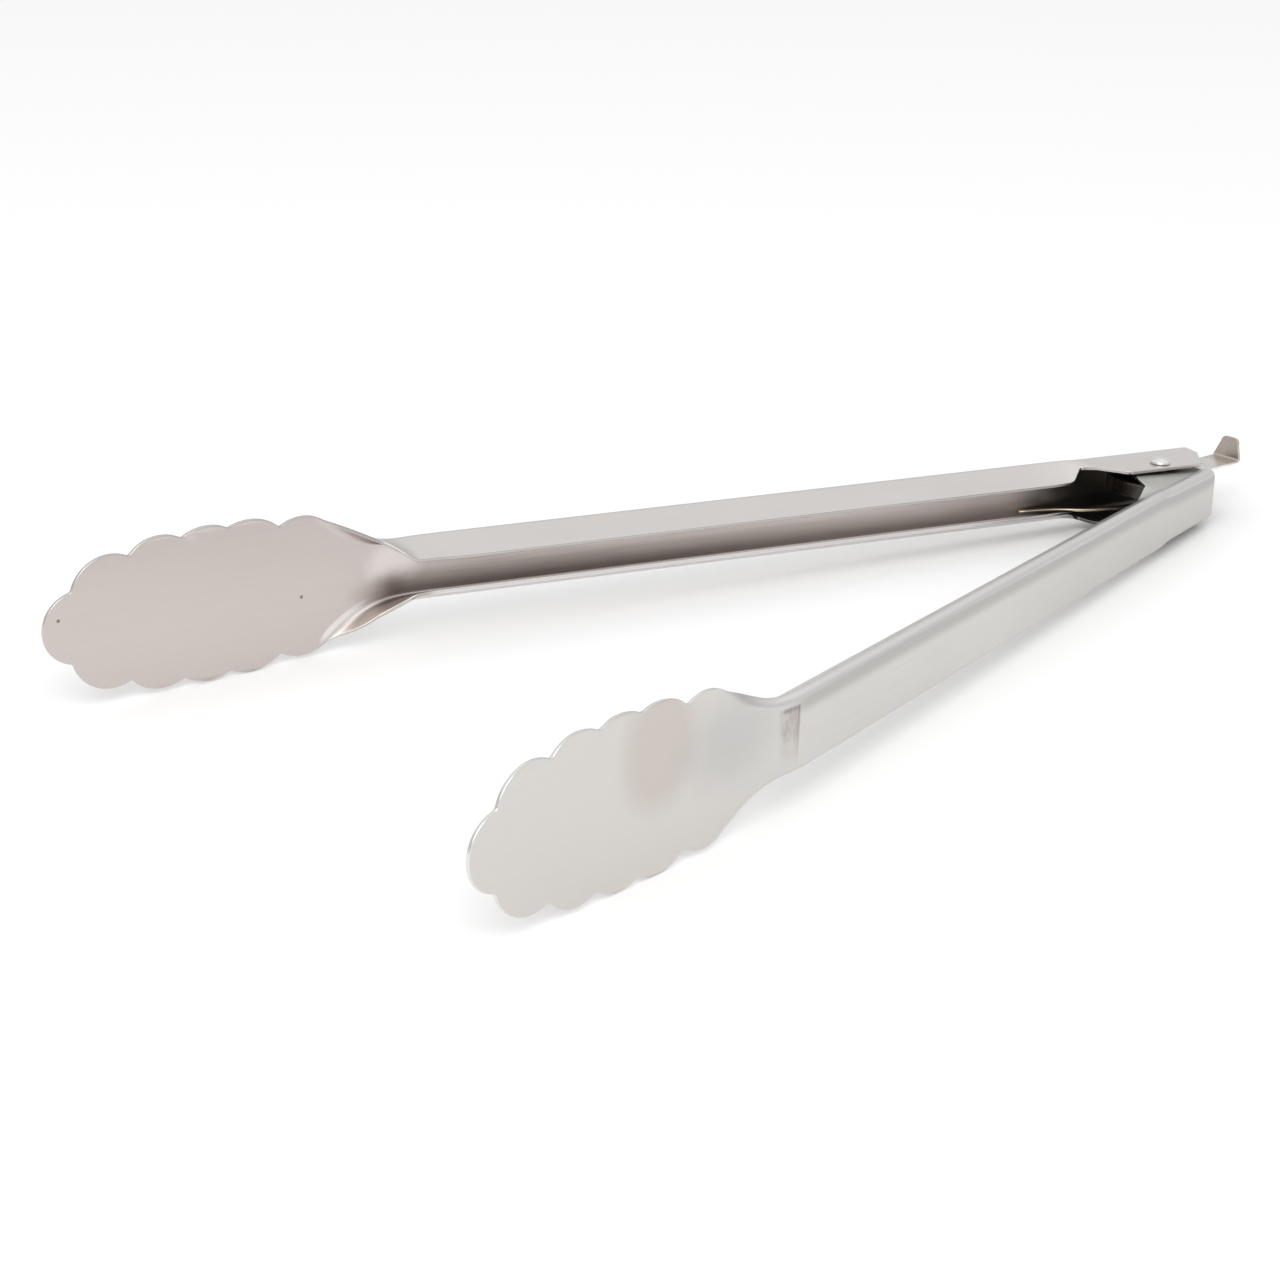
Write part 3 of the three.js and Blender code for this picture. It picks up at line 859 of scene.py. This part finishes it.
PRESS_REFLECTION = (0.38, 0.31, 0.29)
PRESS_CAP_REFLECTION = (0.2, 0.17, 0.16)
PRESS_LINE_REFLECTION = (0.20, 0.16, 0.16)
PRESS_SPAN = (200.2, 201.0, 204.5, 207.5)
LINE_SPAN = (200.2, 200.8, 200.9, 201.5)


def press_mark(nodes):
    """The smeared mark that the bending tool left, darker at its top and along one side. Its darker tone is
    partly the mark itself and partly a painted reflection of the facet that the tool pressed.
    """
    u, s = nodes.u, nodes.s
    reach = nodes.product(nodes.ramp(s, 6.6, 5.9), nodes.ramp(s, -7.5, 4), nodes.outside())
    smear = nodes.noise(nodes.stretch(nodes.place, (0.9, 0.35, 3.0)), 4.0, 0.6)
    smear = nodes.maths("ADD", 0.45, nodes.ramp(smear, 0.35, 0.65))
    press = nodes.product(nodes.band(u, *PRESS_SPAN), reach)
    press = nodes.maths("MULTIPLY", press, smear, clamp=True)
    # The press mark, with a painted reflection of its facet.
    nodes.stain(PRESS_REFLECTION, press, 0.6)
    nodes.stain(PRESS_CAP_REFLECTION, press, nodes.ramp(s, 5.0, 5.7), 0.45)
    nodes.stain(PRESS_LINE_REFLECTION, nodes.band(u, *LINE_SPAN), reach, 0.4)


def plain_steel(name, colour, roughness, stretch, variation):
    """Steel of the small pieces: streaks and clouds in the piece's own space."""
    material, shader = new_material(name, colour, roughness)
    nodes = Nodes(material, colour)
    place = nodes.add("TexCoord").outputs["Object"]
    streaks = nodes.noise(nodes.stretch(place, (stretch, stretch, stretch)), 4.0, 0.6)
    nodes.bumps(shader, streaks, 0.3)
    nodes.stain(variation, nodes.ramp(nodes.noise(place, 3.0, scale=160.0), 0.3, 0.75), 0.7)
    nodes.put(shader, "Base Color", nodes.colour)
    nodes.put(shader, "Roughness", nodes.maths("ADD", roughness - 0.05, nodes.product(streaks, 0.14)))
    return material


PLATE_HIGHLIGHT_TINT = (0.82, 0.80, 0.78)
PLATE_SHADE = (0.66, 0.62, 0.585)
TAB_SHADE = (0.54, 0.48, 0.425)
TAB_BEND_SHADE = (0.24, 0.20, 0.17)
PLATE_CLOUD = (0.35, 0.30, 0.26)
PLATE_STREAK = (0.60, 0.56, 0.52)
LIP_SHADE = (0.065, 0.055, 0.045)


def slide_steel():
    """The lock plate's steel, lightened as a painted highlight: painted shade towards the tab's foot,
    brownish painted shade on the tab, darker at its bend, and near-black painted shade on the hidden lip.
    """
    # The plate's steel is lightened as a painted highlight.
    material, shader = new_material("slide_steel", PLATE_HIGHLIGHT_TINT, 0.25)
    nodes = SheetNodes(material, PLATE_HIGHLIGHT_TINT)
    along = nodes.u
    streaks = nodes.brushed(shader, 0.08, 1.2)
    # Painted shade on the plate in front of the tab's foot.
    nodes.stain(PLATE_SHADE, nodes.ramp(along, 21.5, 24.5))
    tab = nodes.ramp(along, TAB_FOLD_START - 0.3, TAB_FOLD_START + 0.5)
    # Painted shade: the upright tab brownish and darker than the plate, darker again at its bend.
    nodes.stain(TAB_SHADE, tab)
    nodes.stain(TAB_BEND_SHADE, tab, nodes.ramp(along, TAB_FOLD_END + 2.2, TAB_FOLD_END), 0.08)
    nodes.stain(PLATE_CLOUD, nodes.clouds((0.5, 0.5, 3.0)), 0.2)
    nodes.stain(PLATE_STREAK, nodes.ramp(streaks, 0.3, 0.8), 0.12)
    # Painted shade, near black, on the lip hidden in the hinge.
    nodes.stain(LIP_SHADE, nodes.ramp(along, 3, -5), 0.95)
    nodes.put(shader, "Base Color", nodes.colour)
    nodes.put(shader, "Roughness", nodes.maths("ADD", 0.2, nodes.product(streaks, 0.14)))
    return material


# -------- rivet, spring and lock slide


HEAD_SEAT = 7.66
HEAD_TOP = 9.1
HEAD_RADIUS = 2.65
HEAD_RIM = 0.45  # radius of the head's rolled edge
HEAD_RIM_TURN = math.pi * 0.42  # where the rolled edge passes into the dome
DOME_STEPS = np.linspace(0.12, 0.92, 8)
SHANK_RADIUS = 1.6
RIVET_SIDES = 40


def join_rings(rings, sides):
    """Polygons between each ring of indices and the next. A ring of one index is a pole."""
    polygons = []
    for here, there in zip(rings, rings[1:]):
        for i in range(sides):
            j = (i + 1) % sides
            quad = [here[i % len(here)], here[j % len(here)], there[j % len(there)], there[i % len(there)]]
            polygons.append(list(dict.fromkeys(quad)))
    return polygons


def lathe(profile, sides):
    """A closed shape turned from (radius, height) points that start and end on the axis."""
    positions = []
    rings = []
    for radius, height in profile:
        count = sides if radius > 0 else 1
        rings.append(list(range(len(positions), len(positions) + count)))
        for i in range(count):
            angle = 2 * math.pi * i / sides
            positions.append((radius * math.cos(angle), radius * math.sin(angle), height))
    return np.array(positions), join_rings(rings, sides)


def rivet_mesh():
    """One formed rivet: a shank with a low domed head at each end, rolled under at its rim."""
    head = []
    for angle in np.linspace(-math.pi / 2, HEAD_RIM_TURN, 9):
        radius = HEAD_RADIUS - HEAD_RIM + HEAD_RIM * math.cos(angle)
        head.append((radius, HEAD_SEAT + HEAD_RIM + HEAD_RIM * math.sin(angle)))
    dome_radius, dome_start = head[-1]
    for t in DOME_STEPS:
        head.append((dome_radius * (1 - t), mix(dome_start, HEAD_TOP, math.sin(t * math.pi / 2))))
    upper = [(SHANK_RADIUS, 0), (SHANK_RADIUS, HEAD_SEAT)] + head + [(0, HEAD_TOP)]
    lower = [(r, -z) for r, z in upper[::-1][:-1]]
    positions, polygons = lathe(lower + upper, RIVET_SIDES)
    return new_mesh("hinge_rivet_formed", positions + np.array(PIVOT), polygons)


WIRE = 1
WIRE_SIDES = 12
WIRE_END_ANGLES = np.radians([70, 40, 15])
COIL_RADIUS = 3
COIL_TURNS = 3
COIL_STEP = math.radians(12)
COIL_BOTTOM = -4.6
COIL_PITCH = 1.12
COIL_LEAVE = math.radians(100)  # where the lower leg leaves the coil
LEG_POINTS = [(12, 4.1), (18.5, 5.6), (25, 8.5), (35, 10.3)]  # (u, distance from the rivet axis)
COIL_SWEEP = 2 * math.pi * COIL_TURNS + 2 * (COIL_LEAVE - math.pi / 2) + math.pi
COIL_TOP = COIL_BOTTOM + COIL_PITCH * COIL_SWEEP / (2 * math.pi)


def leg_route(side, height):
    """A spring leg from the coil out to the web of its arm."""
    turned = -side * HALF_OPEN
    route = []
    for u, w in LEG_POINTS:
        x, y = -u, side * w
        route.append((x * math.cos(turned) - y * math.sin(turned),
                      x * math.sin(turned) + y * math.cos(turned), height))
    return route


def spring_route():
    """The wire's line: the outer arm's leg, the coil as it rises, the inner arm's leg."""
    points = leg_route(1, COIL_BOTTOM)[::-1]
    steps = round(COIL_SWEEP / COIL_STEP)
    for i in range(steps + 1):
        angle = COIL_LEAVE - COIL_SWEEP * i / steps
        height = mix(COIL_BOTTOM, COIL_TOP, i / steps)
        points.append((COIL_RADIUS * math.cos(angle), COIL_RADIUS * math.sin(angle), height))
    points += leg_route(-1, COIL_TOP)
    return np.array(points)


def curve_point(corners, knots, t):
    """The point at t on a curve through the middle two of four corners, which has those knots."""
    for gap in (1, 2):
        pairs = enumerate(zip(corners, corners[1:]))
        corners = [mix(a, b, (t - knots[i]) / (knots[i + gap] - knots[i])) for i, (a, b) in pairs]
    return mix(corners[0], corners[1], (t - knots[1]) / (knots[2] - knots[1]))


def catmull_rom(points, parts):
    """A smooth line through the points, with that many parts to each gap."""
    ends = np.concatenate([[2 * points[0] - points[1]], points, [2 * points[-1] - points[-2]]])
    line = []
    for corners in zip(ends, ends[1:], ends[2:], ends[3:]):
        gaps = [math.sqrt(math.dist(a, b)) for a, b in zip(corners, corners[1:])]
        knots = np.cumsum([0] + gaps)
        for t in np.linspace(knots[1], knots[2], parts, endpoint=False):
            line.append(curve_point(corners, knots, t))
    line.append(points[-1])
    return np.array(line)


def wire_end(centre, way, radius):
    """The (centre, radius) of each ring of a wire's rounded end, outermost first. way points outwards."""
    depth = radius / 2
    return [(centre + way * depth * (math.sin(a) - 1), radius * math.cos(a)) for a in WIRE_END_ANGLES]


def wire_ring(centre, tangent, radius):
    """Points round a wire, in the plane across it."""
    right = np.cross(tangent, (0, 0, 1))
    right /= np.linalg.norm(right)
    over = np.cross(right, tangent)
    angles = np.linspace(0, 2 * math.pi, WIRE_SIDES, endpoint=False)[:, None]
    return centre + radius * (np.cos(angles) * right + np.sin(angles) * over)


def wire_mesh(name, line, radius):
    """A round wire along a line, with rounded ends."""
    tangents = np.gradient(line, axis=0)
    tangents /= np.linalg.norm(tangents, axis=1)[:, None]
    start = wire_end(line[0], -tangents[0], radius)
    end = wire_end(line[-1], tangents[-1], radius)
    rings = [wire_ring(centre, tangents[0], size) for centre, size in start]
    rings += [wire_ring(centre, tangent, radius) for centre, tangent in zip(line[1:-1], tangents[1:-1])]
    rings += [wire_ring(centre, tangents[-1], size) for centre, size in end[::-1]]
    indices = np.arange(len(rings) * WIRE_SIDES).reshape(-1, WIRE_SIDES).tolist()
    polygons = [indices[0][::-1], indices[-1]] + join_rings(indices, WIRE_SIDES)
    mesh = new_mesh(name, np.concatenate(rings) + np.array(PIVOT), polygons)
    mesh.validate()
    return mesh


# The lock slide's places along its sheet are measured back from the rivet axis.
SLIDE_SHEET = 0.6
SLIDE_RIM = 0.16
SLIDE_TOP = 4.5
SLIDE_HALF = 10.2
SLIDE_FRONT = -10.4
SLIDE_FRONT_RADIUS = 25
SLIDE_STEP = 0.5  # between points on its outline
SLIDE_COLUMNS = 27
LIP_DEPTH = 4.3
LIP_RADIUS = 1.2
WING_END = 3
NECK_START = 7
TAB_HALF = 4.1
TAB_TOP_HALF = 2.8
TAB_CORNER = 1.6
TAB_FOLD_START = 27
TAB_TOP = 9.9
TAB_TURN = math.radians(77)
TAB_RADIUS = 0.6
SLOT = (-6.5, 4.5)
LIP_START = SLIDE_FRONT + LIP_RADIUS
LIP_END = LIP_START - LIP_RADIUS * math.pi / 2 - (LIP_DEPTH - LIP_RADIUS)
TAB_RISE = SLIDE_TOP + TAB_RADIUS * (1 - math.cos(TAB_TURN))
TAB_FOLD_END = TAB_FOLD_START + TAB_RADIUS * TAB_TURN
TAB_END = TAB_FOLD_END + (TAB_TOP - TAB_RISE) / math.sin(TAB_TURN)


def slide_place(t, y, d):
    """Slide sheet point t along, y across and d under its top face, in the row frame in millimetres.
    Ahead of LIP_START it bends down, and behind TAB_FOLD_START it bends up."""
    t, y, d = np.broadcast_arrays(np.asarray(t, float), y, d)
    lip = np.clip(LIP_START - t, 0, LIP_RADIUS * math.pi / 2) / LIP_RADIUS
    lip_rest = np.maximum(LIP_START - t - LIP_RADIUS * math.pi / 2, 0)
    tab = np.clip(t - TAB_FOLD_START, 0, TAB_RADIUS * TAB_TURN) / TAB_RADIUS
    tab_rest = np.maximum(t - TAB_FOLD_END, 0)
    x = np.clip(t, LIP_START, TAB_FOLD_START) - LIP_RADIUS * np.sin(lip)
    x = x + TAB_RADIUS * np.sin(tab) + tab_rest * math.cos(TAB_TURN)
    z = SLIDE_TOP - LIP_RADIUS * (1 - np.cos(lip)) - lip_rest
    z = z + TAB_RADIUS * (1 - np.cos(tab)) + tab_rest * math.sin(TAB_TURN)
    tilt = tab + lip
    x = x + np.sin(tilt) * d
    z = z - np.cos(tilt) * d
    sweep = SLIDE_FRONT_RADIUS - np.sqrt(SLIDE_FRONT_RADIUS**2 - y**2)
    x = x + sweep * (1 - smooth(t, (SLIDE_FRONT + 1, 0)))
    return np.stack([x + PIVOT.x, y, z + PIVOT.z], axis=-1)


def slide_half_outline():
    """One side of the slide's outline, from the lip's lower edge to the tab's top, with y positive."""
    shoulder = TAB_END - TAB_CORNER
    corners = [(LIP_END, 0), (LIP_END, SLIDE_HALF), (WING_END, SLIDE_HALF), (NECK_START, TAB_HALF),
               (TAB_FOLD_END, TAB_HALF), (shoulder, TAB_TOP_HALF)]
    points = []
    for start, end in zip(corners, corners[1:]):
        points += line_points(start, end, SLIDE_STEP)
    for angle in np.linspace(0, math.pi / 2, 7):
        drop = TAB_CORNER * (1 - math.cos(angle))
        points.append((shoulder + TAB_CORNER * math.sin(angle), TAB_TOP_HALF - drop))
    top = points[-1][1]
    return points + line_points((TAB_END, top), (TAB_END, 0), SLIDE_STEP)[1:]


def slot_loop():
    """The slot that the rivet goes through, clockwise."""
    loop = []
    for centre, start in ((SLOT[1], -math.pi / 2), (SLOT[0], math.pi / 2)):
        for turn in np.linspace(start, start + math.pi, 13):
            loop.append((centre + RIVET_HOLE * math.cos(turn), RIVET_HOLE * math.sin(turn)))
    return clockwise(np.array(loop))


def slide_mesh():
    half = slide_half_outline()
    lower = [(t, -y) for t, y in half[1:]]
    border = soften(tidy_loop(lower + [(TAB_END, 0.0)] + half[::-1]), 3)
    loops = [border, slot_loop()]
    lip_rows = np.arange(LIP_END, LIP_START + 1, 0.3)
    plate_rows = np.arange(LIP_START + 1, TAB_FOLD_START - 1, 1.0)
    tab_rows = np.arange(TAB_FOLD_START - 1, TAB_END, 0.2)
    columns = np.linspace(-SLIDE_HALF, SLIDE_HALF, SLIDE_COLUMNS)
    grid = np.array([(t, y) for rows in (lip_rows, plate_rows, tab_rows) for t in rows for y in columns])
    inner = within(grid, loops, 2 * SLIDE_RIM)
    return stamped("lock_slide_sheet", slide_place, SLIDE_SHEET, SLIDE_RIM, loops, inner, 1)


# -------- the pieces, floor, lights and camera


def add_piece(name, mesh, material, node):
    piece = bpy.data.objects.new(name, mesh)
    bpy.context.scene.collection.objects.link(piece)
    mesh.materials.append(material)
    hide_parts(node)
    return piece


FAR_OUTSIDE = (0.67, 0.64, 0.62)
FAR_INSIDE = (0.62, 0.565, 0.54)
# Rim tints: painted shade on the outer arm's edges, a painted highlight on the inner arm's.
FAR_RIM_SHADE = (0.5, 0.47, 0.45)
NEAR_OUTSIDE = (0.645, 0.635, 0.61)
NEAR_INSIDE = (0.66, 0.62, 0.60)
NEAR_RIM_HIGHLIGHT = (0.84, 0.83, 0.82)
RIVET_TINT = (0.86, 0.85, 0.84)
RIVET_CLOUD = (0.7, 0.69, 0.67)
STRAW = (0.68, 0.59, 0.45)
STRAW_CLOUD = (0.52, 0.45, 0.34)


def build_tongs():
    far_steel = arm_steel("outer_arm_steel", FAR_OUTSIDE, FAR_INSIDE, FAR_RIM_SHADE, outer_marks)
    near_steel = arm_steel("inner_arm_steel", NEAR_OUTSIDE, NEAR_INSIDE, NEAR_RIM_HIGHLIGHT, inner_marks)
    for arm, material in ((OUTER, far_steel), (INNER, near_steel)):
        piece = add_piece(arm["name"] + "_sheet", arm_mesh(arm), material, arm["name"])
        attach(piece, arm["name"])
    bright = plain_steel("rivet_steel", RIVET_TINT, 0.2, 300, RIVET_CLOUD)
    rivet = add_piece("hinge_rivet_formed", rivet_mesh(), bright, "hinge_rivet")
    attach(rivet, "rivet")
    slide = add_piece("lock_slide_sheet", slide_mesh(), slide_steel(), "lock_slide")
    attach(slide, "lock_slide")
    straw = plain_steel("spring_steel", STRAW, 0.3, 900, STRAW_CLOUD)
    line = catmull_rom(spring_route(), 4)
    wire = wire_mesh("torsion_spring_wire", line, WIRE / 2)
    spring = add_piece("torsion_spring_wire", wire, straw, "torsion_spring")
    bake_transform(spring)


LOWEST_LOBE = 251  # u of the scallops that the blades rest on
FLOOR_HALF = 6.0  # metres
FLOOR_GAP = 0.0002  # metres under the tongs
FLOOR_WHITE = (0.96, 0.96, 0.96)


def add_floor():
    """A pale floor under the lowest lobes of the blades and the rivet's lower head, where the tongs lie."""
    lobe_x = PIVOT.x - LOWEST_LOBE * math.cos(HALF_OPEN)
    slope = math.atan2(rivet_low.z / MM, PIVOT.x - lobe_x)
    corners = [(x * FLOOR_HALF, y * FLOOR_HALF, 0) for x, y in ((-1, -1), (1, -1), (1, 1), (-1, 1))]
    mesh = bpy.data.meshes.new("floor")
    mesh.from_pydata(corners, [], [(0, 1, 2, 3)])
    floor = bpy.data.objects.new("floor", mesh)
    bpy.context.scene.collection.objects.link(floor)
    floor.location = (lobe_x * MM, 0, -FLOOR_GAP)
    floor.rotation_euler = (0, -slope, 0)
    material, shader = new_material("floor_white", FLOOR_WHITE, 0.9, 0.0)
    shader.inputs["Specular IOR Level"].default_value = 0.0
    mesh.materials.append(material)


WALL_LIGHT = 0.7
CEILING_LIGHT = 1.0
WALL_TOP = 0.3  # heights on the sky, from 0 at the horizon to 1 overhead
CEILING_EDGE = 0.8


def add_world():
    """A pale studio, brightest overhead."""
    world = bpy.data.worlds.new("studio")
    bpy.context.scene.world = world
    world.use_nodes = True
    nodes = Nodes(world)
    height = nodes.add("SeparateXYZ", {"Vector": nodes.add("TexCoord").outputs["Generated"]}).outputs["Z"]
    extra = nodes.product(nodes.ramp(height, WALL_TOP, CEILING_EDGE), CEILING_LIGHT - WALL_LIGHT)
    background = world.node_tree.nodes["Background"]
    background.inputs["Color"].default_value = (1, 1, 1, 1)
    nodes.put(background, "Strength", nodes.maths("ADD", WALL_LIGHT, extra))


SOFTBOX_PLACE = Vector((-0.9, -0.8, 1.0))  # metres
SOFTBOX_TARGET = Vector((0, 0, 0.02))
SOFTBOX_SIZE = 1.2
SOFTBOX_POWER = 10


def add_softbox():
    light = bpy.data.lights.new("front_softbox", "AREA")
    light.shape = "RECTANGLE"
    light.size = light.size_y = SOFTBOX_SIZE
    light.energy = SOFTBOX_POWER
    lamp = bpy.data.objects.new("front_softbox", light)
    bpy.context.scene.collection.objects.link(lamp)
    lamp.location = SOFTBOX_PLACE
    lamp.rotation_euler = (SOFTBOX_TARGET - SOFTBOX_PLACE).to_track_quat("-Z", "Y").to_euler()


CAMERA_PLACE = Vector((-561.7, -429.9, 207.4))  # from the rivet's middle
CAMERA_YAW = 0.8385
CAMERA_PITCH = 0.3264
CAMERA_ROLL = 0.034
LENS = 79.81
SENSOR = 36
LENS_SHIFT = (-0.0033, -0.0485)


def add_camera():
    data = bpy.data.cameras.new("camera")
    data.sensor_width = SENSOR
    data.lens = LENS
    data.shift_x, data.shift_y = LENS_SHIFT
    data.clip_start = 0.01
    data.clip_end = 50
    camera = bpy.data.objects.new("camera", data)
    bpy.context.scene.collection.objects.link(camera)
    forward = Vector((math.cos(CAMERA_YAW) * math.cos(CAMERA_PITCH),
                      math.sin(CAMERA_YAW) * math.cos(CAMERA_PITCH), -math.sin(CAMERA_PITCH)))
    level = Vector((math.sin(CAMERA_YAW), -math.cos(CAMERA_YAW), 0))
    over = level.cross(forward)
    right = math.cos(CAMERA_ROLL) * level + math.sin(CAMERA_ROLL) * over
    up = -math.sin(CAMERA_ROLL) * level + math.cos(CAMERA_ROLL) * over
    turn = Matrix((right, up, -forward)).transposed().to_4x4()
    camera.matrix_world = Matrix.Translation((PIVOT + CAMERA_PLACE) * MM) @ turn
    bpy.context.scene.camera = camera


build_tongs()
add_floor()
add_world()
add_softbox()
add_camera()
bpy.context.scene.view_settings.view_transform = "Standard"

bpy.context.view_layer.update()
